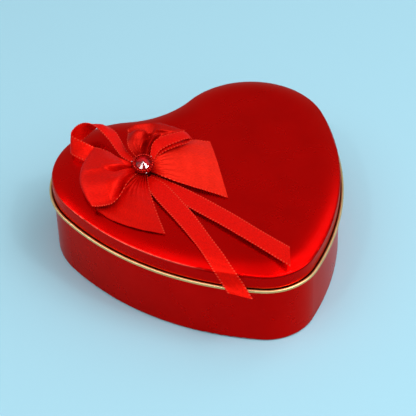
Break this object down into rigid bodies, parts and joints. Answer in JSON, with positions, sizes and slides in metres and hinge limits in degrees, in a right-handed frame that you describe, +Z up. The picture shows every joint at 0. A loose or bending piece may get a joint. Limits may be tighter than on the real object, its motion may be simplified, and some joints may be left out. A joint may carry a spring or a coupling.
{
  "type": "heart-shaped gift tin",
  "caption": "Red heart-shaped tin with a slip lid, a gold rim bead, and a red satin ribbon bow with a set stone.",
  "frame": {"origin": "on the surface the tin stands on, under the middle of its length and width", "axes": "+Z up, +Y towards the notch of the heart, -Y towards its point, +X to the right seen from the point"},
  "size_m": [0.1682, 0.1628, 0.0655],
  "materials": {
    "red_lacquer": "gloss",
    "base_lacquer": "gloss",
    "gold_lacquer": "gloss",
    "wide_satin": "satin",
    "narrow_satin": "satin",
    "knot_satin": "satin",
    "glue": "matte",
    "dark_setting": "gloss",
    "dark_beads": "gloss",
    "silver": "polished",
    "red_stone": "polished"
  },
  "bodies": {
    "tin": {"tin_wall": "red_lacquer", "bottom_panel": "base_lacquer"},
    "lid": {"lid_shell": "red_lacquer", "rim_bead": "gold_lacquer", "glue_pad": "glue", "bow_knot": "knot_satin", "wide_left_loop": "wide_satin", "wide_right_loop": "wide_satin", "wide_left_tail": "wide_satin", "wide_right_tail": "wide_satin", "narrow_left_loop": "narrow_satin", "narrow_right_loop": "narrow_satin", "narrow_front_tail": "narrow_satin", "narrow_back_tail": "narrow_satin", "gem_setting": "dark_setting", "gem_beads": "dark_beads", "gem_rivets": "silver", "gem_stone": "red_stone"}
  },
  "joints": [
    {"name": "lid_lift", "type": "slide", "parent": "tin", "child": "lid", "axis": [0, 0, 1], "range_m": [0, 0.06]}
  ]
}
